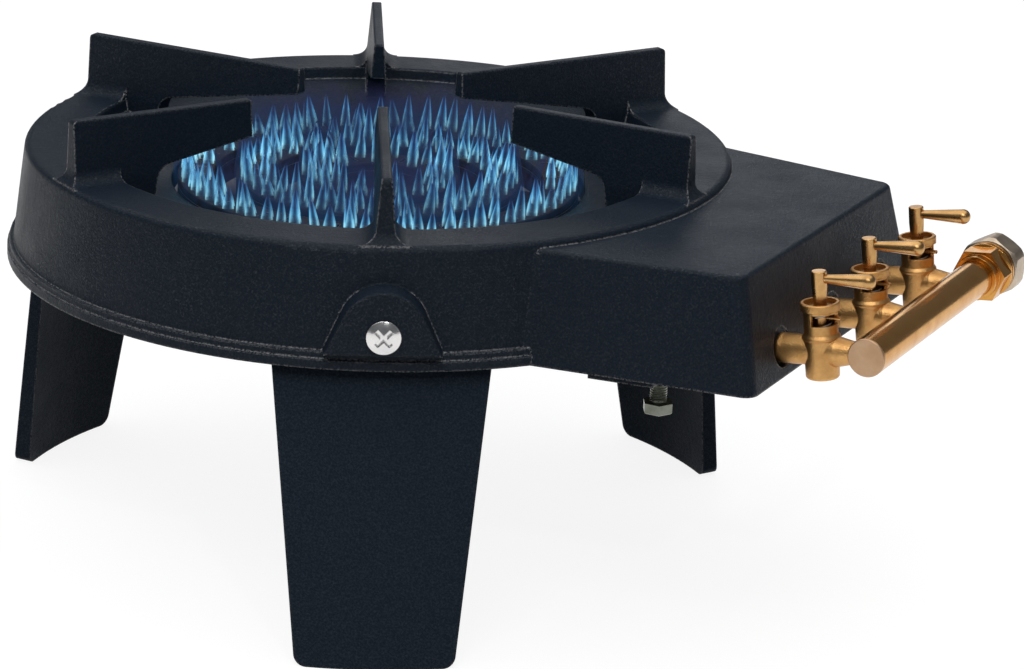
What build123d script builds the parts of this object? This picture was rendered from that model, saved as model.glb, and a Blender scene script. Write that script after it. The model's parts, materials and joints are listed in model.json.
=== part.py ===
from build123d import *
import math
import os

os.makedirs("parts", exist_ok=True)

# Driving dimensions in millimetres, angles in degrees.
# Heights are above the floor. Distances named reach are from the burner axis towards the taps.

# Hood: top land, dish and skirt
shoulder_r = 175.0
land_z = 198.4
land_in_r = 146.6
dish_step = 5.9
dish_step_run = 1.2
opening_r = 102.8
opening_z = 178.2
collar_z = 168.2
wall = 4.5
shoulder_round = 3.5
lip_round = 1.0
skirt_z = 141.7
skirt_flare = 6.8
rim_step = 1.1
rim_band_h = 4.8
rim_bead_h = 3.3

# Pan support fins
fin_z = 229.1
fin_outer_r = 170.1
fin_foot_r = 173.8
long_fin_inner_r = 45.5
short_fin_inner_r = 74.7
fin_heel_r = 126.0
fin_heel_z = 202.1
fin_under_rise = 14.2
fin_heel_round = 8.0
fin_corner_round = 2.2
fin_top_w = 5.0
fin_base_w = 10.0
fin_foot_round = 7.5
fin_count = 3
first_long_fin = 60.0
first_short_fin = 0.0

# Tap box cast on the hood
box_root_reach = 150.0
box_end_reach = 238.0
box_end_draft = 11.5
box_flank_reach = 138.0
box_inner_corner = 80.0
box_end_half_w = 91.5
box_side_draft = 8.4
box_narrowing = 0.135
box_root_round = 8.0
box_root_bite = 0.3
box_top_z = 194.9
box_corner_round = 7.0
box_edge_round = 2.2

# Legs and their bosses
leg_names = ("leg_rear", "leg_left", "leg_front")
first_leg = 60.0
leg_foot_r = 198.0
leg_gap = 0.3
leg_top_z = 183.0
leg_foot_half_w = 37.2
leg_side_slope_share = 0.095
leg_foot_t = 9.4
leg_top_t = 6.0
leg_foot_round = 6.0
leg_top_round = 9.0
leg_sweep = 22.0
leg_pad_r = 10.5
leg_pad_proud = 2.4
rail_w = 5.0
rail_h = 28.0
rail_depth = 7.0
rail_gap = 0.4
boss_proud = 9.5
boss_half_w = 20.2
boss_foot_half_w = 27.0
boss_foot_z = 150.5
boss_draft = 4.0
boss_edge_round = 1.1

# Leg screws, washers and nuts, M8
screw_z = 160.5
m8_r = 4.0
m8_clear = 0.3
tap_hole_clear = 0.3
screw_head_r = 8.0
screw_head_h = 4.8
screw_head_edge = 2.6
screw_tail = 3.0
recess_w = 2.2
recess_span = 9.6
recess_depth = 2.6
washer_r = 8.5
washer_t = 1.6
m8_nut_flats = 13.0
m8_nut_h = 6.5
m8_head_h = 5.3

# Burners
outer_ring_r = 91.0
middle_ring_over = 1.0
inner_ring_r = 31.0
ring_half_w = 9.0
ring_wall = 3.4
ring_z = 166.6
channel_h = 10.4
cap_t = 4.0
cap_lip_h = 1.6
cap_lip_gap = 0.25
cap_edge_round = 0.8
port_w = 1.7
port_len = 8.6
port_spacing = 13.0
tube_r = 10.8
tube_wall = 3.0
throat_r = 9.0
throat_half_len = 13.5
diffuser_len = 26.0
bell_r = 14.0
bell_lip = 2.0
bell_len = 22.5
mouth_lap = 3.5
riser_r = 9.6
riser_bore_r = 5.6
pad_h = 0.8
pad_half_w = 5.0
arm_w = 12.0
arm_t = 4.6
arm_hub_r = 11.0
arm_angles = (120.0, 240.0)
bracket_inner_r = 93.0
bracket_w = 14.0
bracket_t = 4.8
bracket_angles = (90.0, 180.0, 270.0)

# Strap that carries the mixing tubes
strap_w = 24.0
strap_t = 3.0
strap_gap = 0.3
strap_corner_round = 2.0
lug_depth = 9.0
lug_jaw = 3.5
saddle_t = 6.0
saddle_gap = 0.2
clamp_screw_len = 28.7
hex_edge = 0.7

# Taps
tap_names = ("front", "middle", "rear")
tap_pitch = 61.0
spigot_len = 17.9
knee_len = 4.0
rail_lean = 6.5
outlet_z = 155.2
spot_r = 9.4
spot_depth = 0.2
inner_boss_r = 11.0
inner_boss_h = 0.6
barrel_foot_z = 142.4
barrel_foot_r = 7.8
barrel_top_r = 8.2
barrel_floor = 2.6
barrel_foot_round = 1.4
ledge_z = 162.3
ledge_r = 8.9
ledge_h = 1.5
cage_r = 7.9
cage_bore_r = 6.4
cup_z = 174.8
cup_r = 9.2
cup_h = 3.6
cup_bore_r = 7.5
cup_edge = 0.5
spigot_r = 7.0
spigot_round = 2.4
thread_r = 5.0
thread_tail = 3.0
port_bore_r = 2.8
stub_root_r = 7.2
stub_r = 5.5
stub_into_tube = 3.0
window_low_z = 168.2
window_h = 5.2
window_start = 12.0
window_sweep = 114.0
plug_foot_r = 5.0
plug_top_r = 5.9
plug_top_z = 163.2
plug_running_gap = 0.04
plug_floor_gap = 0.5
plug_head_z = 163.8
stem_r = 3.0
stem_tip_r = 2.3
stem_shoulder_z = 179.0
stem_tip_z = 186.8
keeper_t = 1.6
keeper_gap = 0.08
stem_gap = 0.3
spindle_foot_r = 3.2
spindle_r = 3.6
spindle_waist_z = 184.9
spindle_top_z = 192.9
spindle_edge = 0.4
spindle_fit = 0.03
lever_z = 189.2
lever_root_r = 2.0
lever_root_depth = 2.2
lever_tip_r = 3.6
lever_len = 27.5
lever_fit = 0.03
stop_pin_r = 0.9
stop_pin_reach = 10.0
stop_pin_tail = 2.4
spring_wire_r = 0.5
spring_coil_r = 4.9
spring_turns = 2
spring_seat_gap = 0.1
spring_samples = 96

# Locknuts and injectors behind the box wall
locknut_flats = 17.0
locknut_h = 5.6
injector_flats = 11.0
injector_hex_len = 4.0
injector_nose_len = 8.0
injector_nose_r = 2.6
injector_stub_r = 2.6
injector_stub_len = 3.0
jet_r = 0.6

# Manifold and gas inlet
stub_len = 24.2
manifold_r = 9.0
manifold_wall = 1.5
manifold_overhang = 6.9
end_cap_t = 1.2
end_cap_edge = 0.4
inlet_hex_y = 78.0
inlet_hex_flats = 24.0
inlet_hex_len = 10.0
inlet_collar_r = 10.9
inlet_collar_len = 5.0
socket_fit = 0.04
flange_r = 13.6
flange_t = 1.4
flange_groove = 0.9
flange_groove_w = 1.1
inlet_bore_r = 6.0
inlet_thread_r = 10.3
inlet_thread_len = 9.5
ring_washer_t = 1.2
coupling_flats = 28.0
coupling_len = 13.0
coupling_corner_r = 15.2
coupling_edge = 1.6
coupling_bore_r = 10.6
coupling_mouth_r = 8.3
coupling_lip = 3.2

over = 1.0

skirt_slope = skirt_flare / (land_z - skirt_z)
dish_edge_r = land_in_r - dish_step_run
dish_slope = (land_z - dish_step - opening_z) / (dish_edge_r - opening_r)
leg_angles = [first_leg + 360 / 3 * n for n in range(3)]
tap_ys = [-tap_pitch, 0, tap_pitch]
cap_z = ring_z + channel_h
boss_root_r = shoulder_r - wall
box_z = skirt_z
middle_ring_r = tap_pitch + middle_ring_over


def skirt_outer(z):
    return shoulder_r + (land_z - z) * skirt_slope


def skirt_inner(z):
    return skirt_outer(z) - wall


def dish_top(r):
    return opening_z + (r - opening_r) * dish_slope


def box_end(z):
    return box_end_reach + box_end_draft * (box_top_z - z) / (box_top_z - box_z)


def box_half(reach, z):
    """Half width of the box outside, wider towards the hood and towards the floor."""
    drop = (box_top_z - z) / (box_top_z - box_z)
    return box_end_half_w + box_side_draft * drop + (box_end(z) - reach) * box_narrowing


boss_face_r = skirt_outer(screw_z) + boss_proud
spot_reach = box_end(outlet_z + spot_r) - spot_depth
inner_boss_reach = box_end(outlet_z + inner_boss_r) - wall - inner_boss_h
thread_end_reach = inner_boss_reach - locknut_h - thread_tail
nose_end_reach = thread_end_reach - injector_hex_len - injector_nose_len
mouth_reach = nose_end_reach + mouth_lap
strap_reach = mouth_reach - bell_len - throat_half_len
knee_reach = spot_reach + knee_len
tap_reach = knee_reach + spigot_len
manifold_reach = tap_reach + stub_len
stop_pin_z = window_low_z + window_h / 2
lean_cos = math.cos(math.radians(rail_lean))
lean_sin = math.sin(math.radians(rail_lean))
manifold_out = knee_reach + (manifold_reach - knee_reach) * lean_cos

# The burner axis stands so far back that the whole length is centred on the origin
burner_x = (leg_foot_r - manifold_out - coupling_flats / 2) / 2
burner_axis = Axis((burner_x, 0, 0), (0, 0, 1))


def upright(angle):
    """Plane through the burner axis: local x is the radius, local y is the height."""
    a = math.radians(angle)
    out = (math.cos(a), math.sin(a), 0)
    return Plane(origin=(burner_x, 0, 0), x_dir=out, z_dir=(math.sin(a), -math.cos(a), 0))


def facing(angle, radius, z=0.0):
    """Plane that faces away from the burner axis at a radius: local y is the height."""
    a = math.radians(angle)
    spot = (burner_x + radius * math.cos(a), radius * math.sin(a), z)
    return Plane(origin=spot, x_dir=(-math.sin(a), math.cos(a), 0), z_dir=(math.cos(a), math.sin(a), 0))


def along_x(reach, y, z):
    """Plane square to the mixing tubes: local x is +Y, local y is the height."""
    return Plane(origin=(burner_x + reach, y, z), x_dir=(0, 1, 0), z_dir=(1, 0, 0))


def tube_plane(y):
    """Plane that holds a mixing tube's axis: local x is the reach, local y is the height above the axis."""
    return Plane(origin=(burner_x, y, outlet_z), x_dir=(1, 0, 0), z_dir=(0, -1, 0))


def tube_axis(y):
    return Axis((burner_x, y, outlet_z), (1, 0, 0))


def leaning(reach, y, z):
    """Place of a point of the gas rail. Reach and height are as if the rail stood upright: it leans
    back towards the box about the knees of its spigots."""
    run = reach - knee_reach
    rise = z - outlet_z
    x = burner_x + knee_reach + run * lean_cos - rise * lean_sin
    return (x, y, outlet_z + run * lean_sin + rise * lean_cos)


def rail_face(reach, y, z):
    """Plane square to the leaning rail's flow: local x is +Y, local y is the stem's direction."""
    return Plane(origin=leaning(reach, y, z), x_dir=(0, 1, 0), z_dir=(lean_cos, 0, lean_sin))


def rail_plane(y, z):
    """Plane that holds a flow axis of the leaning rail: local x is the reach, local y the height above it."""
    return Plane(origin=leaning(0, y, z), x_dir=(lean_cos, 0, lean_sin), z_dir=(0, -1, 0))


def rail_axis(y, z):
    return Axis(leaning(0, y, z), (lean_cos, 0, lean_sin))


def manifold_face(y):
    """Plane square to the manifold."""
    return Plane(origin=leaning(manifold_reach, y, outlet_z), x_dir=(lean_cos, 0, lean_sin), z_dir=(0, 1, 0))


def manifold_plane():
    """Plane that holds the manifold axis: local x is +Y, local y is the distance from the axis."""
    return rail_face(manifold_reach, 0, outlet_z)


manifold_axis = Axis(leaning(manifold_reach, 0, outlet_z), (0, 1, 0))


# Pan support fins: thin upright webs with draft and a free nose over the opening, on a foot that sweeps out
# over the land
def fin_half_w(z):
    return (fin_top_w + (fin_base_w - fin_top_w) * (fin_z - z) / (fin_z - land_z)) / 2


def make_fin(inner_r):
    foot_top = land_z + fin_foot_round
    foot_low = land_z - wall / 2
    foot_half = fin_half_w(foot_top)
    nose_z = fin_heel_z + (fin_heel_r - inner_r) * fin_under_rise / (fin_heel_r - long_fin_inner_r)
    with BuildPart() as fin:
        with BuildSketch(upright(0)) as fin_side:
            with BuildLine():
                Polyline(
                    (fin_outer_r, fin_z),
                    (inner_r, fin_z),
                    (inner_r, nose_z),
                    (fin_heel_r, fin_heel_z),
                    (fin_heel_r + fin_corner_round, dish_top(fin_heel_r) - wall / 2),
                    (land_in_r, dish_top(land_in_r) - wall / 2),
                    (land_in_r + wall, foot_low),
                    (fin_outer_r, foot_low),
                    close=True,
                )
            make_face()
            fillet(fin_side.vertices().sort_by_distance((fin_heel_r, fin_heel_z))[0], fin_heel_round)
            fillet(fin_side.vertices().sort_by_distance((inner_r, fin_z))[0], fin_corner_round / 2)
            fillet(fin_side.vertices().sort_by_distance((fin_outer_r, fin_z))[0], fin_corner_round)
        extrude(amount=fin_base_w, both=True)
        with BuildSketch(facing(0, 0)) as fin_section:
            with BuildLine():
                Polyline(
                    (-fin_top_w / 2, fin_z),
                    (fin_top_w / 2, fin_z),
                    (fin_base_w / 2, land_z),
                    (fin_base_w / 2, opening_z),
                    (-fin_base_w / 2, opening_z),
                    (-fin_base_w / 2, land_z),
                    close=True,
                )
            make_face()
            top_corners = fin_section.vertices().group_by(Axis.Y)[-1]
            fillet(top_corners, fin_corner_round / 2)
        extrude(amount=shoulder_r, mode=Mode.INTERSECT)
    with BuildPart() as foot:
        with BuildSketch(facing(0, land_in_r)) as foot_section:
            with BuildLine():
                RadiusArc((foot_half + fin_foot_round, land_z), (foot_half, foot_top), fin_foot_round)
                Line((foot_half, foot_top), (-foot_half, foot_top))
                RadiusArc((-foot_half, foot_top), (-foot_half - fin_foot_round, land_z), fin_foot_round)
                Polyline(
                    (-foot_half - fin_foot_round, land_z),
                    (-foot_half - fin_foot_round, foot_low),
                    (foot_half + fin_foot_round, foot_low),
                    (foot_half + fin_foot_round, land_z),
                )
            make_face()
        extrude(amount=fin_foot_r - land_in_r)
        with BuildSketch(upright(0)) as foot_side:
            with BuildLine():
                TangentArc((fin_outer_r, foot_top), (fin_foot_r, land_z), tangent=(0, -1))
                Polyline(
                    (fin_foot_r, land_z),
                    (fin_foot_r, foot_low),
                    (land_in_r, foot_low),
                    (land_in_r, foot_top),
                    (fin_outer_r, foot_top),
                )
            make_face()
        extrude(amount=foot_half + fin_foot_round, both=True, mode=Mode.INTERSECT)
    return fin.part + foot.part


long_fin = make_fin(long_fin_inner_r)
short_fin = make_fin(short_fin_inner_r)


# Tap box block: the tapered outside of the box, which starts inside the hood's wall
def box_outline(z):
    Polyline(
        (burner_x + box_root_reach, -box_inner_corner),
        (burner_x + box_flank_reach, -box_half(box_flank_reach, z)),
        (burner_x + box_end(z), -box_half(box_end(z), z)),
        (burner_x + box_end(z), box_half(box_end(z), z)),
        (burner_x + box_flank_reach, box_half(box_flank_reach, z)),
        (burner_x + box_root_reach, box_inner_corner),
        close=True,
    )


def hollow_outline(z):
    end = box_end(z) - wall
    Polyline(
        (burner_x + box_root_reach, wall - box_half(box_root_reach, z)),
        (burner_x + end, wall - box_half(end, z)),
        (burner_x + end, box_half(end, z) - wall),
        (burner_x + box_root_reach, box_half(box_root_reach, z) - wall),
        close=True,
    )


def box_root(z, side):
    """Web between the box's side and the skirt: its arc touches the side and bites a bit into the skirt."""
    square = math.hypot(1, box_narrowing)
    skirt_r = skirt_outer(z)
    span = skirt_r + box_root_round - box_root_bite
    offset_half = box_half(0, z) + box_root_round * square
    lead = box_narrowing * offset_half
    centre_reach = (lead + math.sqrt(lead ** 2 - square ** 2 * (offset_half ** 2 - span ** 2))) / square ** 2
    centre_half = offset_half - box_narrowing * centre_reach
    touch_reach = centre_reach - box_root_round * box_narrowing / square
    touch_half = centre_half - box_root_round / square
    bite = (skirt_r - box_root_bite) / span
    middle_reach = (touch_reach + centre_reach * bite) / 2 - centre_reach
    middle_half = (touch_half + centre_half * bite) / 2 - centre_half
    stretch = box_root_round / math.hypot(middle_reach, middle_half)
    arc_reach = centre_reach + middle_reach * stretch
    arc_half = centre_half + middle_half * stretch
    middle_wall_r = skirt_r - wall / 2
    with BuildSketch(Plane.XY.offset(z)) as root:
        with BuildLine():
            ThreePointArc(
                (burner_x + touch_reach, side * touch_half),
                (burner_x + arc_reach, side * arc_half),
                (burner_x + centre_reach * bite, side * centre_half * bite),
            )
            Polyline(
                (burner_x + centre_reach * bite, side * centre_half * bite),
                (burner_x + centre_reach * middle_wall_r / span, side * centre_half * middle_wall_r / span),
                (burner_x + box_root_reach, side * math.sqrt(middle_wall_r ** 2 - box_root_reach ** 2)),
                (burner_x + touch_reach, side * (touch_half - wall / 2)),
                (burner_x + touch_reach, side * touch_half),
            )
        make_face()
    return root.sketch


with BuildPart() as box_block:
    for z in (box_z, box_top_z):
        with BuildSketch(Plane.XY.offset(z)) as box_level:
            with BuildLine():
                box_outline(z)
            make_face()
            fillet(box_level.vertices().group_by(Axis.X)[-1], box_corner_round)
    loft(ruled=True)
    roof_edges = box_block.edges().group_by(Axis.Z)[-1].sort_by(Axis.X)[3:]
    fillet(roof_edges, box_edge_round)

box_webs = []
for side in (-1, 1):
    with BuildPart() as box_web:
        add(box_root(box_z, side))
        add(box_root(box_top_z - box_edge_round, side))
        loft(ruled=True)
    box_webs.append(box_web.part)

with BuildPart() as box_hollow:
    for z in (box_z, box_top_z - wall):
        with BuildSketch(Plane.XY.offset(z)) as hollow_level:
            with BuildLine():
                hollow_outline(z)
            make_face()
            fillet(hollow_level.vertices().group_by(Axis.X)[-1], box_corner_round - wall)
    loft(ruled=True)

# Thick places of the box's end wall behind the three tap holes
with BuildPart() as tap_bosses:
    with BuildSketch(along_x(inner_boss_reach, 0, 0)) as inner_bosses:
        with Locations([(y, outlet_z) for y in tap_ys]):
            Circle(inner_boss_r)
    extrude(amount=box_end_reach + box_end_draft - inner_boss_reach)
    add(box_block.part, mode=Mode.INTERSECT)

# Leg boss: an arch over a foot that spreads, with draft from its face back into the skirt
def boss_outline(radius, grow):
    arch_r = boss_half_w + grow
    foot_half = boss_foot_half_w + grow
    foot_z = boss_foot_z - grow
    fall = screw_z - foot_z
    lift = math.acos(arch_r / math.hypot(foot_half, fall)) - math.atan2(fall, foot_half)
    touch = (arch_r * math.cos(lift), screw_z + arch_r * math.sin(lift))
    with BuildSketch(facing(0, radius)) as outline:
        with BuildLine():
            Polyline((-touch[0], touch[1]), (-foot_half, foot_z), (foot_half, foot_z), touch)
            ThreePointArc(touch, (0, screw_z + arch_r), (-touch[0], touch[1]))
        make_face()
    return outline.sketch


boss_grow = (boss_face_r - boss_root_r) * math.tan(math.radians(boss_draft))
with BuildPart() as boss:
    add(boss_outline(boss_face_r, 0))
    add(boss_outline(boss_root_r, boss_grow))
    loft(ruled=True)
    fillet(boss.faces().sort_by(Axis.X)[-1].edges(), boss_edge_round)


# Hood casting: skirt with a double bead, arched leg bosses, land, dish, collar, fins and tap box in one piece
rim_r = skirt_outer(skirt_z) + 2 * rim_step
rim_top = skirt_z + rim_band_h
bead_top = rim_top + rim_bead_h
strap_top = outlet_z - throat_r - pad_h - strap_gap
lug_top = strap_top + lug_jaw
lug_foot = strap_top - strap_t - lug_jaw
lug_near = strap_reach - strap_w / 2 - lug_jaw
lug_far = strap_reach + strap_w / 2 + lug_jaw
slot_half = box_half(lug_far, lug_top) - wall

with BuildPart() as hood_casting:
    with BuildSketch(upright(0)) as skirt_section:
        with BuildLine():
            Polyline(
                (skirt_inner(skirt_z), skirt_z),
                (rim_r, skirt_z),
                (rim_r, rim_top),
                (rim_r - rim_step, rim_top),
                (rim_r - rim_step, bead_top),
                (skirt_outer(bead_top), bead_top),
                (shoulder_r, land_z),
                (shoulder_r - wall, land_z),
                close=True,
            )
        make_face()
        fillet(skirt_section.vertices().sort_by_distance((shoulder_r, land_z))[0], shoulder_round)
        fillet(skirt_section.vertices().sort_by_distance((rim_r, rim_top))[0], rim_step / 2)
        fillet(skirt_section.vertices().sort_by_distance((rim_r - rim_step, bead_top))[0], rim_step / 2)
    revolve(axis=burner_axis)
    for angle in leg_angles:
        add(boss.part.rotate(burner_axis, angle))
    with BuildSketch(upright(0)) as skirt_trim:
        with BuildLine():
            Polyline(
                (0, skirt_z),
                (skirt_inner(skirt_z), skirt_z),
                (skirt_inner(land_z), land_z),
                (0, land_z),
                close=True,
            )
        make_face()
    revolve(axis=burner_axis, mode=Mode.SUBTRACT)
    add(box_block.part)
    add(box_webs)
    add(box_hollow.part, mode=Mode.SUBTRACT)
    with BuildSketch(upright(0)) as top_section:
        with BuildLine():
            Polyline(
                (shoulder_r - wall, land_z),
                (land_in_r, land_z),
                (dish_edge_r, land_z - dish_step),
                (opening_r, opening_z),
                (opening_r, collar_z),
                (opening_r + wall, collar_z),
                (opening_r + wall, dish_top(opening_r + wall) - wall),
                (land_in_r, dish_top(land_in_r) - wall),
                (land_in_r + dish_step, land_z - wall),
                (skirt_inner(land_z - wall) + wall / 2, land_z - wall),
                close=True,
            )
        make_face()
        fillet(top_section.vertices().sort_by_distance((land_in_r, land_z))[0], lip_round)
        fillet(top_section.vertices().sort_by_distance((opening_r, opening_z))[0], lip_round)
    revolve(axis=burner_axis)
    for n in range(fin_count):
        add(long_fin.rotate(burner_axis, first_long_fin + 360 / fin_count * n))
        add(short_fin.rotate(burner_axis, first_short_fin + 360 / fin_count * n))
    for angle in bracket_angles:
        with BuildSketch(upright(angle)) as bracket_side:
            with BuildLine():
                Polyline(
                    (bracket_inner_r, ring_z - bracket_t),
                    (opening_r + wall, ring_z - bracket_t),
                    (opening_r + wall, collar_z + wall),
                    (opening_r + wall / 2, collar_z + wall),
                    (opening_r, ring_z),
                    (bracket_inner_r, ring_z),
                    close=True,
                )
            make_face()
        extrude(amount=bracket_w / 2, both=True)
    for angle in leg_angles:
        for side in (-1, 1):
            low_z = leg_top_z - rail_h
            low_x = leg_foot_half_w + low_z * leg_side_slope_share + rail_gap
            top_x = leg_foot_half_w + leg_top_z * leg_side_slope_share + rail_gap
            with BuildSketch(facing(angle, skirt_inner(leg_top_z) - rail_depth - rail_w)) as leg_rail:
                with BuildLine():
                    Polyline(
                        (side * low_x, low_z),
                        (side * (low_x + rail_w), low_z),
                        (side * (top_x + rail_w), leg_top_z),
                        (side * top_x, leg_top_z),
                        close=True,
                    )
                make_face()
            extrude(amount=rail_depth)
    with BuildSketch(along_x(strap_reach - saddle_t / 2, 0, 0)) as saddle_face:
        saddle_top = box_top_z - wall / 2
        with BuildLine():
            Polyline(
                (wall / 2 - box_half(strap_reach, outlet_z), outlet_z),
                (box_half(strap_reach, outlet_z) - wall / 2, outlet_z),
                (box_half(strap_reach, saddle_top) - wall / 2, saddle_top),
                (wall / 2 - box_half(strap_reach, saddle_top), saddle_top),
                close=True,
            )
        make_face()
        with Locations([(y, outlet_z) for y in tap_ys]):
            Circle(throat_r + saddle_gap, mode=Mode.SUBTRACT)
    extrude(amount=saddle_t)
    for side in (-1, 1):
        with BuildSketch(Plane(origin=(burner_x, 0, lug_foot))) as lug_plan:
            with BuildLine():
                Polyline(
                    (lug_near, side * (slot_half - lug_depth)),
                    (lug_far, side * (slot_half - lug_depth)),
                    (lug_far, side * (box_half(lug_far, lug_top) - wall / 2)),
                    (lug_near, side * (box_half(lug_near, lug_top) - wall / 2)),
                    close=True,
                )
            make_face()
        extrude(amount=lug_top - lug_foot)
    with BuildSketch(along_x(strap_reach - strap_w / 2 - strap_gap, 0, 0)) as slot_face:
        with Locations((0, strap_top - strap_t / 2)):
            Rectangle(2 * slot_half, strap_t + strap_gap)
    extrude(amount=strap_w + 2 * strap_gap, mode=Mode.SUBTRACT)
    add(tap_bosses.part)
    with BuildSketch(along_x(spot_reach, 0, 0)) as spot_faces:
        with Locations([(y, outlet_z) for y in tap_ys]):
            Circle(spot_r)
    extrude(amount=box_end_draft, mode=Mode.SUBTRACT)
    with BuildSketch(along_x(inner_boss_reach - over, 0, 0)) as tap_holes:
        with Locations([(y, outlet_z) for y in tap_ys]):
            Circle(thread_r + tap_hole_clear)
    extrude(amount=spot_reach - inner_boss_reach + 2 * over, mode=Mode.SUBTRACT)
    for angle in leg_angles:
        with BuildSketch(facing(angle, skirt_inner(leg_top_z) - rail_depth, screw_z)) as screw_hole:
            Circle(m8_r + m8_clear)
        extrude(amount=boss_face_r - skirt_inner(leg_top_z) + rail_depth + over, mode=Mode.SUBTRACT)

hood_casting.part.label = "hood_casting"
export_step(hood_casting.part, "parts/hood_casting.step")

# Legs: slices of a cone that follow the skirt, narrower and thicker at the foot, with a flat pad for the nut
leg_top_r = skirt_inner(leg_top_z) - leg_gap
leg_knee_r = skirt_inner(skirt_z) - leg_gap
pad_reach = leg_knee_r - (screw_z - skirt_z) * skirt_slope - leg_top_t - leg_pad_proud


def make_leg(angle):
    with BuildPart() as leg:
        with BuildSketch(upright(angle - leg_sweep)) as leg_section:
            with BuildLine():
                Polyline(
                    (leg_foot_r, 0),
                    (leg_knee_r, skirt_z),
                    (leg_top_r, leg_top_z),
                    (leg_top_r - leg_top_t, leg_top_z),
                    (leg_knee_r - leg_top_t, skirt_z),
                    (leg_foot_r - leg_foot_t, 0),
                    close=True,
                )
            make_face()
        revolve(axis=burner_axis, revolution_arc=2 * leg_sweep)
        with BuildSketch(facing(angle, 0)) as leg_outline:
            top_half = leg_foot_half_w + leg_top_z * leg_side_slope_share
            with BuildLine():
                Polyline(
                    (-leg_foot_half_w, 0),
                    (leg_foot_half_w, 0),
                    (top_half, leg_top_z),
                    (-top_half, leg_top_z),
                    close=True,
                )
            make_face()
            fillet(leg_outline.vertices().group_by(Axis.Y)[0], leg_foot_round)
            fillet(leg_outline.vertices().group_by(Axis.Y)[-1], leg_top_round)
        extrude(amount=boss_face_r + leg_foot_r, mode=Mode.INTERSECT)
        with BuildSketch(facing(angle, pad_reach, screw_z)) as nut_pad:
            Circle(leg_pad_r)
        extrude(amount=leg_pad_proud + leg_top_t / 2)
        with BuildSketch(facing(angle, pad_reach - over, screw_z)) as leg_hole:
            Circle(m8_r + m8_clear)
        extrude(amount=leg_foot_r - pad_reach, mode=Mode.SUBTRACT)
    return leg


for leg_name, leg_angle in zip(leg_names, leg_angles):
    leg = make_leg(leg_angle)
    leg.part.label = leg_name
    export_step(leg.part, f"parts/{leg_name}.step")

# Leg screws: chromed pan heads with a cross recess
nut_face = pad_reach - washer_t - m8_nut_h
crown_h = screw_head_h - screw_head_edge
crown_r = (screw_head_r ** 2 + crown_h ** 2) / (2 * crown_h)
half_sag = crown_r - math.sqrt(crown_r ** 2 - (screw_head_r / 2) ** 2)
with BuildPart() as leg_screws:
    for angle in leg_angles:
        with BuildSketch(upright(angle)) as screw_section:
            with BuildLine():
                Polyline(
                    (boss_face_r, screw_z),
                    (boss_face_r, screw_z + screw_head_r),
                    (boss_face_r + screw_head_edge, screw_z + screw_head_r),
                )
                ThreePointArc(
                    (boss_face_r + screw_head_edge, screw_z + screw_head_r),
                    (boss_face_r + screw_head_h - half_sag, screw_z + screw_head_r / 2),
                    (boss_face_r + screw_head_h, screw_z),
                )
                Line((boss_face_r + screw_head_h, screw_z), (boss_face_r, screw_z))
            make_face()
        a = math.radians(angle)
        revolve(axis=Axis((burner_x, 0, screw_z), (math.cos(a), math.sin(a), 0)))
        with BuildSketch(facing(angle, nut_face - screw_tail, screw_z)) as screw_shank:
            Circle(m8_r)
        extrude(amount=boss_face_r - nut_face + screw_tail)
        with BuildSketch(facing(angle, boss_face_r + screw_head_h - recess_depth, screw_z)) as cross_recess:
            Rectangle(recess_span, recess_w, rotation=45)
            Rectangle(recess_w, recess_span, rotation=45)
        extrude(amount=screw_head_h, mode=Mode.SUBTRACT)

leg_screws.part.label = "leg_screws"
export_step(leg_screws.part, "parts/leg_screws.step")

# Leg washers and nuts, inside the legs
with BuildPart() as leg_washers:
    for angle in leg_angles:
        with BuildSketch(facing(angle, pad_reach, screw_z)) as washer_face:
            Circle(washer_r)
            Circle(m8_r + m8_clear, mode=Mode.SUBTRACT)
        extrude(amount=-washer_t)

leg_washers.part.label = "leg_washers"
export_step(leg_washers.part, "parts/leg_washers.step")

with BuildPart() as leg_nuts:
    for angle in leg_angles:
        with BuildSketch(facing(angle, nut_face, screw_z)) as nut_profile:
            RegularPolygon(m8_nut_flats / 2, 6, major_radius=False)
            Circle(m8_r + plug_running_gap, mode=Mode.SUBTRACT)
        extrude(amount=m8_nut_h)

leg_nuts.part.label = "leg_nuts"
export_step(leg_nuts.part, "parts/leg_nuts.step")


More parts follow.
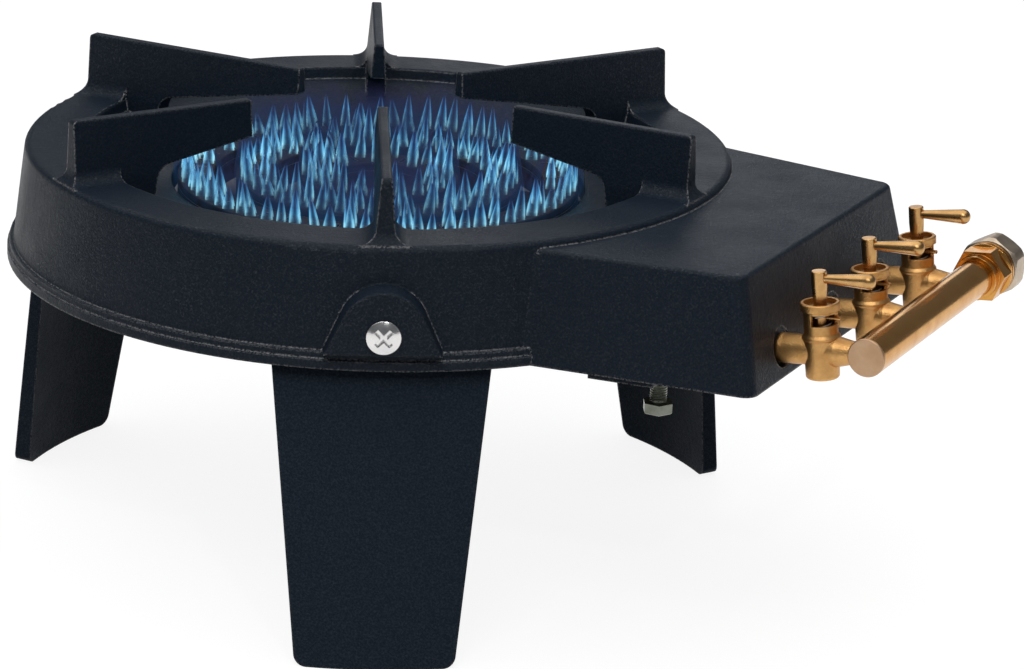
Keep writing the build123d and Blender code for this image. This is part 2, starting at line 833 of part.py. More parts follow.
# Burners: a ring channel on a riser, fed by a straight mixing tube with a bell mouth and a throat
def make_burner(ring_r, y, with_arms):
    riser_reach = math.sqrt(ring_r ** 2 - y ** 2)
    end_reach = riser_reach - riser_r
    throat_in = strap_reach - throat_half_len
    throat_out = strap_reach + throat_half_len
    with BuildPart() as burner:
        with BuildSketch(tube_plane(y)) as tube_section:
            with BuildLine():
                Polyline(
                    (end_reach, 0),
                    (end_reach, tube_r),
                    (throat_in - diffuser_len, tube_r),
                    (throat_in, throat_r),
                    (throat_out, throat_r),
                    (mouth_reach - bell_lip, bell_r),
                    (mouth_reach, bell_r),
                    (mouth_reach, bell_r - bell_lip),
                    (throat_out, throat_r - tube_wall),
                    (throat_in, throat_r - tube_wall),
                    (throat_in - diffuser_len, tube_r - tube_wall),
                    (end_reach + tube_wall, tube_r - tube_wall),
                    (end_reach + tube_wall, 0),
                    close=True,
                )
            make_face()
            fillet(tube_section.vertices().sort_by_distance((end_reach, tube_r))[0], tube_wall)
        revolve(axis=tube_axis(y))
        with BuildSketch(Plane(origin=(burner_x + riser_reach, y, outlet_z))) as riser:
            Circle(riser_r - tube_wall / 2)
        extrude(amount=ring_z - outlet_z)
        with BuildSketch(upright(0)) as channel_section:
            with Locations((ring_r, ring_z + channel_h / 2)):
                Rectangle(2 * ring_half_w, channel_h)
            with Locations((ring_r, ring_z + channel_h / 2 + ring_wall)):
                Rectangle(2 * (ring_half_w - ring_wall), channel_h, mode=Mode.SUBTRACT)
        revolve(axis=burner_axis)
        with BuildSketch(Plane(origin=(burner_x + riser_reach, y, outlet_z))) as riser_bore:
            Circle(riser_bore_r)
        extrude(amount=ring_z + ring_wall - outlet_z, mode=Mode.SUBTRACT)
        with BuildSketch(along_x(throat_in, y, outlet_z)) as tube_bore:
            Circle(throat_r - tube_wall)
        extrude(amount=-(throat_in - end_reach - tube_wall), mode=Mode.SUBTRACT)
        with BuildSketch(Plane(origin=(burner_x + strap_reach, y, outlet_z - throat_r - pad_h))) as foot_pad:
            Rectangle(2 * pad_half_w, 2 * pad_half_w)
        extrude(amount=pad_h + tube_wall / 2)
        if with_arms:
            with BuildSketch(Plane(origin=(burner_x, 0, ring_z - arm_t))) as arms:
                Circle(arm_hub_r)
                for angle in arm_angles:
                    a = math.radians(angle)
                    reach = (ring_r + arm_hub_r - ring_half_w) / 2
                    with Locations((reach * math.cos(a), reach * math.sin(a))):
                        Rectangle(ring_r + ring_half_w - arm_hub_r, arm_w, rotation=angle)
            extrude(amount=arm_t)
    return burner


def make_cap(ring_r):
    count = round(2 * math.pi * ring_r / port_spacing)
    lip = ring_half_w - ring_wall - cap_lip_gap
    with BuildPart() as cap:
        with BuildSketch(upright(0)) as cap_section:
            with Locations((ring_r, cap_z + cap_t / 2)):
                Rectangle(2 * ring_half_w, cap_t)
            fillet(cap_section.vertices().group_by(Axis.Y)[-1], cap_edge_round)
            with Locations((ring_r, cap_z - cap_lip_h / 2)):
                Rectangle(2 * lip, cap_lip_h)
        revolve(axis=burner_axis)
        with BuildSketch(Plane(origin=(burner_x, 0, cap_z - cap_lip_h))) as ports:
            with PolarLocations(ring_r, count):
                Rectangle(port_len, port_w)
        extrude(amount=cap_lip_h + cap_t, mode=Mode.SUBTRACT)
    return cap


burner_plan = (
    ("outer", outer_ring_r, -tap_pitch, True),
    ("inner", inner_ring_r, 0, False),
    ("middle", middle_ring_r, tap_pitch, False),
)
for ring_name, ring_r, tap_y, carries_others in burner_plan:
    burner = make_burner(ring_r, tap_y, carries_others)
    burner.part.label = f"{ring_name}_burner"
    export_step(burner.part, f"parts/{ring_name}_burner.step")
    cap = make_cap(ring_r)
    cap.part.label = f"{ring_name}_burner_cap"
    export_step(cap.part, f"parts/{ring_name}_burner_cap.step")

# Burner strap: a flat steel bar across the box, held in the two lugs, tapped for the clamp screws
with BuildPart() as burner_strap:
    with BuildSketch(Plane(origin=(burner_x + strap_reach, 0, strap_top))) as strap_outline:
        RectangleRounded(strap_w, 2 * (slot_half - strap_gap), strap_corner_round)
        with Locations([(0, y) for y in tap_ys]):
            Circle(m8_r + plug_running_gap, mode=Mode.SUBTRACT)
    extrude(amount=-strap_t)

burner_strap.part.label = "burner_strap"
export_step(burner_strap.part, "parts/burner_strap.step")

# Clamp screws: M8 hexagon heads downwards, tips against the tubes' foot pads, locked by a nut under the strap
screw_tip = outlet_z - throat_r - pad_h
with BuildPart() as clamp_screws:
    with BuildSketch(Plane(origin=(burner_x + strap_reach, 0, screw_tip))) as clamp_shanks:
        with Locations([(0, y) for y in tap_ys]):
            Circle(m8_r)
    extrude(amount=-clamp_screw_len)
    with BuildSketch(Plane(origin=(burner_x + strap_reach, 0, screw_tip - clamp_screw_len))) as clamp_heads:
        with Locations([(0, y) for y in tap_ys]):
            RegularPolygon(m8_nut_flats / 2, 6, major_radius=False)
    extrude(amount=-m8_head_h)
    head_faces = clamp_screws.faces().filter_by(Axis.Z).group_by(Axis.Z)[0]
    chamfer(head_faces.edges(), hex_edge)

clamp_screws.part.label = "clamp_screws"
export_step(clamp_screws.part, "parts/clamp_screws.step")

with BuildPart() as clamp_nuts:
    with BuildSketch(Plane(origin=(burner_x + strap_reach, 0, strap_top - strap_t))) as clamp_nut_profiles:
        with Locations([(0, y) for y in tap_ys]):
            RegularPolygon(m8_nut_flats / 2, 6, major_radius=False)
            Circle(m8_r + plug_running_gap, mode=Mode.SUBTRACT)
    extrude(amount=-m8_nut_h)

clamp_nuts.part.label = "clamp_nuts"
export_step(clamp_nuts.part, "parts/clamp_nuts.step")

# Taps
seat_foot_z = barrel_foot_z + barrel_floor
plug_foot_z = seat_foot_z + plug_floor_gap
plug_taper = (plug_top_r - plug_foot_r) / (plug_top_z - plug_foot_z)
stub_seat = manifold_reach - manifold_r



def plug_radius(z):
    return plug_foot_r + (z - plug_foot_z) * plug_taper


def tap_plane(y, z=0.0):
    """Plane square to a tap's stem, whose origin is on the stem axis."""
    flow = (lean_cos, 0, lean_sin)
    return Plane(origin=leaning(tap_reach, y, z), x_dir=flow, z_dir=(-lean_sin, 0, lean_cos))


def tap_section(y, angle=0.0):
    """Plane through a tap's stem axis: local x is the radius, local y is the height."""
    a = math.radians(angle)
    out = (math.cos(a) * lean_cos, math.sin(a), math.cos(a) * lean_sin)
    square = (math.sin(a) * lean_cos, -math.cos(a), math.sin(a) * lean_sin)
    return Plane(origin=leaning(tap_reach, y, 0), x_dir=out, z_dir=square)


def stem_axis(y):
    return Axis(leaning(tap_reach, y, 0), (-lean_sin, 0, lean_cos))


# Tap body: tapered barrel, cage with a stop window, open cup on top, inlet stub, and a spigot whose knee
# turns level into the box wall
def make_tap_body(y):
    with BuildPart() as tap_body:
        with BuildSketch(tap_section(y)) as body_section:
            with BuildLine():
                Polyline(
                    (0, barrel_foot_z),
                    (barrel_foot_r, barrel_foot_z),
                    (barrel_top_r, ledge_z - ledge_h),
                    (ledge_r, ledge_z - ledge_h / 2),
                    (ledge_r, ledge_z),
                    (cage_r, ledge_z + ledge_h),
                    (cage_r, cup_z - cup_edge),
                    (cup_r, cup_z),
                    (cup_r, cup_z + cup_h),
                    (0, cup_z + cup_h),
                    close=True,
                )
            make_face()
            foot_corner = body_section.vertices().sort_by_distance((barrel_foot_r, barrel_foot_z))[0]
            fillet(foot_corner, barrel_foot_round)
            chamfer(body_section.vertices().sort_by_distance((cup_r, cup_z + cup_h))[0], cup_edge)
        revolve(axis=stem_axis(y))
        with BuildSketch(tube_plane(y)) as knee_section:
            with BuildLine():
                Polyline(
                    (knee_reach + spigot_r, 0),
                    (spot_reach, 0),
                    (spot_reach, spigot_r),
                    (knee_reach, spigot_r),
                )
                ThreePointArc(
                    (knee_reach, spigot_r),
                    (knee_reach + spigot_r * math.sqrt(1 / 2), spigot_r * math.sqrt(1 / 2)),
                    (knee_reach + spigot_r, 0),
                )
            make_face()
            fillet(knee_section.vertices().sort_by_distance((spot_reach, spigot_r))[0], spigot_round)
        revolve(axis=tube_axis(y))
        with BuildSketch(rail_face(knee_reach, y, outlet_z)) as spigot:
            Circle(spigot_r)
        extrude(amount=spigot_len)
        with BuildSketch(along_x(thread_end_reach, y, outlet_z)) as outlet_thread:
            Circle(thread_r)
        extrude(amount=knee_reach - thread_end_reach)
        with BuildSketch(rail_plane(y, outlet_z)) as stub_section:
            with BuildLine():
                Polyline(
                    (tap_reach, 0),
                    (tap_reach, stub_root_r),
                    (tap_reach + barrel_foot_r, stub_root_r),
                    (stub_seat, stub_r),
                    (stub_seat + manifold_wall + stub_into_tube, stub_r),
                    (stub_seat + manifold_wall + stub_into_tube, 0),
                    close=True,
                )
            make_face()
        revolve(axis=rail_axis(y, outlet_z))
        with BuildSketch(tap_section(y)) as seat_section:
            with BuildLine():
                Polyline(
                    (0, seat_foot_z),
                    (plug_radius(seat_foot_z) + plug_running_gap, seat_foot_z),
                    (plug_radius(plug_top_z) + plug_running_gap, plug_top_z),
                    (cage_bore_r, plug_top_z),
                    (cage_bore_r, cup_z),
                    (cup_bore_r, cup_z),
                    (cup_bore_r, cup_z + cup_h + over),
                    (0, cup_z + cup_h + over),
                    close=True,
                )
            make_face()
        revolve(axis=stem_axis(y), mode=Mode.SUBTRACT)
        with BuildSketch(along_x(thread_end_reach - over, y, outlet_z)) as outlet_bore:
            Circle(port_bore_r)
        extrude(amount=knee_reach - thread_end_reach + over, mode=Mode.SUBTRACT)
        with BuildSketch(rail_face(knee_reach, y, outlet_z)) as flow_bore:
            Circle(port_bore_r)
        extrude(amount=manifold_reach - knee_reach, mode=Mode.SUBTRACT)
        with BuildSketch(tap_section(y, window_start)) as window_section:
            with Locations(((cage_bore_r + ledge_r) / 2, window_low_z + window_h / 2)):
                Rectangle(ledge_r - cage_bore_r + over, window_h)
        revolve(axis=stem_axis(y), revolution_arc=-window_sweep, mode=Mode.SUBTRACT)
    return tap_body


# Tapered plug with its stem: the cross bore joins the inlet to the outlet when the tap is open
def make_plug(y):
    with BuildPart() as tap_plug:
        with BuildSketch(tap_section(y)) as plug_section:
            with BuildLine():
                Polyline(
                    (0, plug_foot_z),
                    (plug_foot_r, plug_foot_z),
                    (plug_top_r, plug_top_z),
                    (plug_top_r, plug_head_z),
                    (stem_r, plug_head_z),
                    (stem_r, stem_shoulder_z),
                    (stem_tip_r, stem_shoulder_z),
                    (stem_tip_r, stem_tip_z),
                    (0, stem_tip_z),
                    close=True,
                )
            make_face()
        revolve(axis=stem_axis(y))
        with BuildSketch(rail_face(tap_reach, y, outlet_z)) as plug_bore:
            Circle(port_bore_r)
        extrude(amount=plug_top_r + over, both=True, mode=Mode.SUBTRACT)
        with BuildSketch(rail_face(tap_reach, y, stop_pin_z)) as pin_hole:
            Circle(stop_pin_r + plug_running_gap)
        extrude(amount=stem_r + over, mode=Mode.SUBTRACT)
    return tap_plug


# Spindle head: a tapered post pressed on the stem, cross drilled for the lever
def make_spindle(y):
    with BuildPart() as tap_spindle:
        with BuildSketch(tap_section(y)) as spindle_section:
            with BuildLine():
                Polyline(
                    (0, stem_tip_z + plug_floor_gap / 2),
                    (stem_tip_r + spindle_fit, stem_tip_z + plug_floor_gap / 2),
                    (stem_tip_r + spindle_fit, stem_shoulder_z),
                    (spindle_foot_r, stem_shoulder_z),
                    (spindle_r, spindle_waist_z),
                    (spindle_r, spindle_top_z),
                    (0, spindle_top_z),
                    close=True,
                )
            make_face()
            chamfer(spindle_section.vertices().sort_by_distance((spindle_r, spindle_top_z))[0], spindle_edge)
        revolve(axis=stem_axis(y))
        with BuildSketch(rail_face(tap_reach + spindle_r - lever_root_depth, y, lever_z)) as lever_hole:
            Circle(lever_root_r + lever_fit)
        extrude(amount=lever_root_depth + over, mode=Mode.SUBTRACT)
    return tap_spindle


# Lever: a turned rod, thin at the root, swelling to a round tip
def make_lever(y):
    root = tap_reach + spindle_r - lever_root_depth
    tip = tap_reach + lever_len
    with BuildPart() as tap_lever:
        with BuildSketch(rail_plane(y, lever_z)) as lever_section:
            with BuildLine():
                Polyline(
                    (tip - lever_tip_r, lever_tip_r),
                    (root + lever_root_depth, lever_root_r),
                    (root, lever_root_r),
                    (root, 0),
                    (tip, 0),
                )
                ThreePointArc(
                    (tip, 0),
                    (tip - lever_tip_r + lever_tip_r * math.sqrt(1 / 2), lever_tip_r * math.sqrt(1 / 2)),
                    (tip - lever_tip_r, lever_tip_r),
                )
            make_face()
        revolve(axis=rail_axis(y, lever_z))
    return tap_lever


# Spring: an open coil between the plug's head and the keeper, its turns clear of the stop pin
def make_spring(y):
    low = plug_head_z + spring_wire_r + spring_seat_gap
    high = cup_z - spring_wire_r - spring_seat_gap
    pitch = (high - low) / spring_turns
    steps = 4 * spring_turns
    lead = (stop_pin_z - low) / pitch - 1 / 2

    def spot(n):
        turn = 2 * math.pi * (n / 4 - lead)
        return Vector(
            *leaning(
                tap_reach + spring_coil_r * math.cos(turn),
                y + spring_coil_r * math.sin(turn),
                low + pitch * n / 4,
            )
        )

    def heading(n):
        turn = 2 * math.pi * (n / 4 - lead)
        run = 2 * math.pi * spring_coil_r
        along = -math.sin(turn) * run
        way = (along * lean_cos - pitch * lean_sin, math.cos(turn) * run, along * lean_sin + pitch * lean_cos)
        return Vector(*way).normalized()

    with BuildPart() as tap_spring:
        with BuildLine() as coil:
            for n in range(steps):
                start, end = spot(n), spot(n + 1)
                leave, arrive = heading(n), heading(n + 1)
                gap = end - start
                swing = leave + arrive
                a = 4 - swing.dot(swing)
                b = 2 * gap.dot(swing)
                c = -gap.dot(gap)
                reach = (-b + math.sqrt(b ** 2 - 4 * a * c)) / (2 * a)
                joint = (start + leave * reach + end - arrive * reach) / 2
                way = (end - arrive * reach - start - leave * reach).normalized()
                TangentArc(start, joint, tangent=leave)
                TangentArc(joint, end, tangent=way)
        with BuildSketch(Plane(origin=spot(0), z_dir=heading(0))) as wire:
            Circle(spring_wire_r)
        sweep(path=coil.wires()[0])
    spots = [spot(steps * n / spring_samples) for n in range(spring_samples + 1)]
    half_turn = spring_samples // (2 * spring_turns)
    nearest = min((b - a).length for i, a in enumerate(spots) for b in spots[i + half_turn:])
    print("spring at", y, "least gap to itself", round(nearest - 2 * spring_wire_r, 2))
    return tap_spring


# Keeper: a washer in the cup, above the spring
def make_keeper(y):
    with BuildPart() as tap_keeper:
        with BuildSketch(tap_plane(y, cup_z)) as keeper_face:
            Circle(cup_bore_r - keeper_gap)
            Circle(stem_r + stem_gap, mode=Mode.SUBTRACT)
        extrude(amount=keeper_t)
    return tap_keeper


# Stop pin: rides in the cage window and limits the lever to a quarter turn
def make_stop_pin(y):
    with BuildPart() as tap_stop_pin:
        with BuildSketch(rail_face(tap_reach + stem_r - stop_pin_tail, y, stop_pin_z)) as pin_face:
            Circle(stop_pin_r)
        extrude(amount=stop_pin_reach - stem_r + stop_pin_tail)
    return tap_stop_pin


tap_makers = (
    ("body", make_tap_body),
    ("plug", make_plug),
    ("spindle", make_spindle),
    ("lever", make_lever),
    ("spring", make_spring),
    ("keeper", make_keeper),
    ("stop_pin", make_stop_pin),
)
for tap_name, tap_y in zip(tap_names, tap_ys):
    for piece_name, maker in tap_makers:
        piece = maker(tap_y)
        piece.part.label = f"{tap_name}_tap_{piece_name}"
        export_step(piece.part, f"parts/{tap_name}_tap_{piece_name}.step")

# Tap locknuts: clamp each tap's outlet thread to the box wall from inside
with BuildPart() as tap_locknuts:
    with BuildSketch(along_x(inner_boss_reach, 0, 0)) as locknut_profiles:
        with Locations([(y, outlet_z) for y in tap_ys]):
            RegularPolygon(locknut_flats / 2, 6, major_radius=False)
            Circle(thread_r + plug_running_gap, mode=Mode.SUBTRACT)
    extrude(amount=-locknut_h)

tap_locknuts.part.label = "tap_locknuts"
export_step(tap_locknuts.part, "parts/tap_locknuts.step")


# Injectors: brass jets screwed into the outlet threads, each nose inside a mixing tube's bell
def make_injector(y):
    with BuildPart() as injector:
        with BuildSketch(along_x(thread_end_reach, y, outlet_z)) as injector_hex:
            RegularPolygon(injector_flats / 2, 6, major_radius=False)
        extrude(amount=-injector_hex_len)
        with BuildSketch(tube_plane(y)) as nose_section:
            with BuildLine():
                Polyline(
                    (nose_end_reach, 0),
                    (nose_end_reach, injector_nose_r),
                    (thread_end_reach - injector_hex_len, thread_r),
                    (thread_end_reach - injector_hex_len / 2, thread_r),
                    (thread_end_reach - injector_hex_len / 2, 0),
                    close=True,
                )
            make_face()
        revolve(axis=tube_axis(y))
        with BuildSketch(along_x(thread_end_reach, y, outlet_z)) as injector_stub:
            Circle(injector_stub_r)
        extrude(amount=injector_stub_len)
        with BuildSketch(along_x(nose_end_reach - over, y, outlet_z)) as jet:
            Circle(jet_r)
        extrude(amount=thread_end_reach + injector_stub_len - nose_end_reach + 2 * over, mode=Mode.SUBTRACT)
    return injector


for ring_name, ring_r, tap_y, carries_others in burner_plan:
    injector = make_injector(tap_y)
    injector.part.label = f"{ring_name}_injector"
    export_step(injector.part, f"parts/{ring_name}_injector.step")

# Manifold tube: drawn brass tube with a side hole for each tap's stub
near_y = -tap_pitch - manifold_overhang
tube_near = near_y + end_cap_t
socket_y = inlet_hex_y
with BuildPart() as manifold_tube:
    with BuildSketch(manifold_face(tube_near)) as tube_face:
        Circle(manifold_r)
        Circle(manifold_r - manifold_wall, mode=Mode.SUBTRACT)
    extrude(amount=socket_y - tube_near)
    with BuildSketch(manifold_plane()) as stub_holes:
        with Locations([(y, 0) for y in tap_ys]):
            Circle(stub_r + socket_fit)
    extrude(amount=-(manifold_r + over), mode=Mode.SUBTRACT)

manifold_tube.part.label = "manifold_tube"
export_step(manifold_tube.part, "parts/manifold_tube.step")

# Manifold end cap: a turned disc brazed on the near end
with BuildPart() as manifold_end_cap:
    with BuildSketch(manifold_face(near_y)) as end_disc:
        Circle(manifold_r)
    extrude(amount=end_cap_t)
    chamfer(manifold_end_cap.edges().group_by(Axis.Y)[0], end_cap_edge)

manifold_end_cap.part.label = "manifold_end_cap"
export_step(manifold_end_cap.part, "parts/manifold_end_cap.step")

# Inlet nipple: brass socket collar, hexagon, grooved flange and male thread
hex_end = inlet_hex_y + inlet_hex_len
flange_end = hex_end + 2 * flange_t + flange_groove_w
thread_end = flange_end + inlet_thread_len
with BuildPart() as inlet_nipple:
    with BuildSketch(manifold_face(inlet_hex_y)) as hexagon:
        RegularPolygon(inlet_hex_flats / 2, 6, major_radius=False)
    extrude(amount=inlet_hex_len)
    with BuildSketch(manifold_plane()) as nipple_section:
        with BuildLine():
            Polyline(
                (inlet_hex_y - inlet_collar_len, inlet_bore_r),
                (inlet_hex_y - inlet_collar_len, inlet_collar_r),
                (inlet_hex_y + over, inlet_collar_r),
                (hex_end - over, inlet_collar_r),
                (hex_end, flange_r),
                (hex_end + flange_t, flange_r),
                (hex_end + flange_t, flange_r - flange_groove),
                (hex_end + flange_t + flange_groove_w, flange_r - flange_groove),
                (hex_end + flange_t + flange_groove_w, flange_r),
                (flange_end, flange_r),
                (flange_end, inlet_thread_r),
                (thread_end, inlet_thread_r),
                (thread_end, inlet_bore_r),
                close=True,
            )
        make_face()
    revolve(axis=manifold_axis)
    with BuildSketch(manifold_plane()) as nipple_bore:
        with BuildLine():
            Polyline(
                (inlet_hex_y - inlet_collar_len - over, 0),
                (inlet_hex_y - inlet_collar_len - over, manifold_r + socket_fit),
                (inlet_hex_y, manifold_r + socket_fit),
                (inlet_hex_y, inlet_bore_r),
                (thread_end + over, inlet_bore_r),
                (thread_end + over, 0),
                close=True,
            )
        make_face()
    revolve(axis=manifold_axis, mode=Mode.SUBTRACT)

inlet_nipple.part.label = "inlet_nipple"
export_step(inlet_nipple.part, "parts/inlet_nipple.step")

# Inlet washer between the flange and the coupling nut
with BuildPart() as inlet_washer:
    with BuildSketch(manifold_face(flange_end)) as washer_ring:
        Circle(flange_r - flange_groove)
        Circle(coupling_bore_r, mode=Mode.SUBTRACT)
    extrude(amount=ring_washer_t)

inlet_washer.part.label = "inlet_washer"
export_step(inlet_washer.part, "parts/inlet_washer.step")

# Coupling nut for the gas hose: steel hexagon with chamfered corners and a lip at its mouth
nut_near = flange_end + ring_washer_t
nut_far = nut_near + coupling_len
with BuildPart() as coupling_nut:
    nut_plane = Plane(origin=leaning(manifold_reach, nut_near, outlet_z), x_dir=(0, 0, 1), z_dir=(0, 1, 0))
    with BuildSketch(nut_plane) as nut_hexagon:
        RegularPolygon(coupling_flats / 2, 6, major_radius=False)
    extrude(amount=coupling_len)
    with BuildSketch(manifold_plane()) as nut_envelope:
        with BuildLine():
            Polyline(
                (nut_near, 0),
                (nut_near, coupling_corner_r - coupling_edge),
                (nut_near + coupling_edge, coupling_corner_r),
                (nut_far - coupling_edge, coupling_corner_r),
                (nut_far, coupling_corner_r - coupling_edge),
                (nut_far, 0),
                close=True,
            )
        make_face()
    revolve(axis=manifold_axis, mode=Mode.INTERSECT)
    with BuildSketch(manifold_plane()) as nut_bore:
        with BuildLine():
            Polyline(
                (nut_near - over, 0),
                (nut_near - over, coupling_bore_r),
                (nut_far - coupling_lip, coupling_bore_r),
                (nut_far - coupling_lip, coupling_mouth_r),
                (nut_far + over, coupling_mouth_r),
                (nut_far + over, 0),
                close=True,
            )
        make_face()
    revolve(axis=manifold_axis, mode=Mode.SUBTRACT)

coupling_nut.part.label = "coupling_nut"
export_step(coupling_nut.part, "parts/coupling_nut.step")
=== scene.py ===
import json
import math

import bpy
import numpy as np
from mathutils import Matrix, Vector


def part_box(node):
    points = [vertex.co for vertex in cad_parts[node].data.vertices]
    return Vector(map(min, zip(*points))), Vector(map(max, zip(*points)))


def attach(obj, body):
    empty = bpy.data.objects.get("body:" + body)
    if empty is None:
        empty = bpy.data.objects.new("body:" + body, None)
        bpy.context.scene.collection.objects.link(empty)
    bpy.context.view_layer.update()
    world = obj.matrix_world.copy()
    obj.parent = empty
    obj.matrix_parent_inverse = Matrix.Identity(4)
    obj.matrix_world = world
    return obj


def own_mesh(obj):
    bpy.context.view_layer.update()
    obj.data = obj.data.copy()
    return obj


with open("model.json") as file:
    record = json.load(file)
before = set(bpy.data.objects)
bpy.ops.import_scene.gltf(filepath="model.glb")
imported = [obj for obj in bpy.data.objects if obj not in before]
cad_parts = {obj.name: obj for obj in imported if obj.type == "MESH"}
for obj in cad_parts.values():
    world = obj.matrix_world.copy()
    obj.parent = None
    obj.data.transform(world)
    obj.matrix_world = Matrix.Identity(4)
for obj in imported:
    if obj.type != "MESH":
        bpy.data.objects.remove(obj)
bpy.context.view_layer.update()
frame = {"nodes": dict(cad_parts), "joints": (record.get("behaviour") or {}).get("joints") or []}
nodes = frame["nodes"]

# Camera
# The photograph was taken with a long lens from the front, a little above the stove, and the
# picture leans by a small roll. Places are counted from the axis of the ring burners.
ring_low, ring_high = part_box("outer_burner_cap")
burner_x = (ring_low.x + ring_high.x) / 2
camera_azimuth = math.radians(26.408)
camera_rise = math.radians(18.713)
camera_roll = math.radians(2.375)
camera_distance = 1.7999
camera_aim = Vector((burner_x + 0.07433, 0.00709, 0.10914))
camera_lens = 126.89

back = Vector((
    math.sin(camera_azimuth) * math.cos(camera_rise),
    -math.cos(camera_azimuth) * math.cos(camera_rise),
    math.sin(camera_rise),
))
level_right = Vector((0, 0, 1)).cross(back).normalized()
level_up = back.cross(level_right)
right = math.cos(camera_roll) * level_right + math.sin(camera_roll) * level_up
up = -math.sin(camera_roll) * level_right + math.cos(camera_roll) * level_up
camera_data = bpy.data.cameras.new("camera")
camera_data.lens = camera_lens
camera_data.clip_start = 0.05
camera_data.clip_end = 50
camera = bpy.data.objects.new("camera", camera_data)
camera.matrix_world = Matrix((
    (right.x, up.x, back.x, 0),
    (right.y, up.y, back.y, 0),
    (right.z, up.z, back.z, 0),
    (0, 0, 0, 1),
))
camera.location = camera_aim + back * camera_distance
bpy.context.scene.collection.objects.link(camera)
bpy.context.scene.camera = camera


# Studio floor and light
# A white floor in a dim room, with soft lights overhead, in front and behind, and a small one on
# the right that picks out the rounded edges. Near the stove the floor's colour and glow are painted
# black where it is seen through the flames, a painted shade, because it would outshine them. The
# flames' veils are seen through as well, so the floor behind them takes this painted shade too.
def new_material(name):
    """A node material with its shader, a function that adds a node and one that joins two sockets."""
    material = bpy.data.materials.new(name)
    material.use_nodes = True
    tree = material.node_tree

    def add(kind, **settings):
        node = tree.nodes.new(kind)
        for key, value in settings.items():
            setattr(node, key, value)
        return node

    return material, tree.nodes["Principled BSDF"], add, tree.links.new


def combined(add, join, operation, *values):
    """A Math node over one or two values, each a socket or a number."""
    node = add("ShaderNodeMath", operation=operation)
    for socket, value in zip(node.inputs, values):
        if isinstance(value, (int, float)):
            socket.default_value = value
        else:
            join(value, socket)
    return node.outputs[0]


def scaled(add, join, value, low, high, start=0.0, end=1.0):
    """A socket's range start to end carried over to low to high, and held there beyond it."""
    node = add("ShaderNodeMapRange")
    join(value, node.inputs["Value"])
    node.inputs["From Min"].default_value = start
    node.inputs["From Max"].default_value = end
    node.inputs["To Min"].default_value = low
    node.inputs["To Max"].default_value = high
    return node.outputs["Result"]


def mesh_object(name, points, faces, material):
    """A smooth mesh object at the origin from an (n, 3) array of points and a list of faces."""
    mesh = bpy.data.meshes.new(name)
    mesh.from_pydata(points.tolist(), [], faces)
    mesh.update()
    mesh.shade_smooth()
    mesh.materials.append(material)
    made = bpy.data.objects.new(name, mesh)
    bpy.context.scene.collection.objects.link(made)
    return made


floor_half = 6.0
floor_color = (0.2, 0.2, 0.2, 1)
floor_glow = 0.88
painted_shade_reach = (0.6, 0.9)
white = (1, 1, 1, 1)
black = (0, 0, 0, 1)

floor_material, floor_shader, add, join = new_material("studio_floor")
floor_shader.inputs["Roughness"].default_value = 0.9
floor_shader.inputs["Specular IOR Level"].default_value = 0
floor_shader.inputs["Emission Color"].default_value = white
paths = add("ShaderNodeLightPath").outputs
reach = add("ShaderNodeVectorMath", operation="LENGTH")
join(add("ShaderNodeTexCoord").outputs["Object"], reach.inputs[0])
# Painted shade: within the first distance of the reach the floor's glow and colour go black for rays
# that have passed a flame, fading out by the second.
far = scaled(add, join, reach.outputs["Value"], 0, 1, *painted_shade_reach)
clear_way = combined(add, join, "LESS_THAN", paths["Transparent Depth"], 0.5)
clear = combined(add, join, "MAXIMUM", far, clear_way)
seen = combined(add, join, "MAXIMUM", paths["Is Camera Ray"], paths["Is Glossy Ray"])
seen = combined(add, join, "MAXIMUM", seen, paths["Is Transmission Ray"])
lit = combined(add, join, "MULTIPLY", seen, clear)
glow = combined(add, join, "MULTIPLY", lit, floor_glow)
join(glow, floor_shader.inputs["Emission Strength"])
paint = add("ShaderNodeMix", data_type="RGBA")
join(clear, paint.inputs["Factor"])
paint.inputs["A"].default_value = black
paint.inputs["B"].default_value = floor_color
join(paint.outputs["Result"], floor_shader.inputs["Base Color"])
corners = np.array([(-1, -1, 0), (1, -1, 0), (1, 1, 0), (-1, 1, 0)], float) * floor_half
floor = mesh_object("studio_floor", corners, [(0, 1, 2, 3)], floor_material)

room_color = (0.14, 0.145, 0.155, 1)
world = bpy.data.worlds.new("studio")
world.use_nodes = True
bpy.context.scene.world = world
tree = world.node_tree
room = tree.nodes["Background"]
room.inputs["Color"].default_value = room_color
sky = tree.nodes.new("ShaderNodeBackground")
sky.inputs["Color"].default_value = white
paths = tree.nodes.new("ShaderNodeLightPath")
choose = tree.nodes.new("ShaderNodeMixShader")
tree.links.new(paths.outputs["Is Camera Ray"], choose.inputs["Fac"])
tree.links.new(room.outputs[0], choose.inputs[1])
tree.links.new(sky.outputs[0], choose.inputs[2])
tree.links.new(choose.outputs[0], tree.nodes["World Output"].inputs["Surface"])

lamp_aim = Vector((0, 0, 0.15))
studio_lights = (
    # name, place, width, power
    ("overhead", (-0.2, 0.0, 1.9), 3.2, 40.0),
    ("front", (0.4, -1.8, 2.2), 1.0, 13.0),
    ("back", (-0.52, 1.36, 0.7), 0.6, 1.3),
    ("key", (1.5, -1.7, 1.9), 0.12, 7.0),
)
for name, place, width, power in studio_lights:
    light = bpy.data.lights.new(name, "AREA")
    light.size = width
    light.energy = power
    lamp = bpy.data.objects.new(name, light)
    lamp.location = place
    lamp.rotation_euler = (lamp_aim - lamp.location).to_track_quat("-Z", "Y").to_euler()
    bpy.context.scene.collection.objects.link(lamp)

bpy.context.scene.view_settings.view_transform = "Standard"


# Hood casting and legs
# Sand-cast grey iron under satin black enamel. The sand's grain shows through the enamel as fine
# bumps, and the enamel is thinner and shinier along the edges. Its edges are also painted paler,
# partly as wear and partly as a painted highlight where rounded edges catch the light.
askew = (0.62, 0.35, 0.9)
edge_bend = (0.84, 0.985)
edge_samples = 6


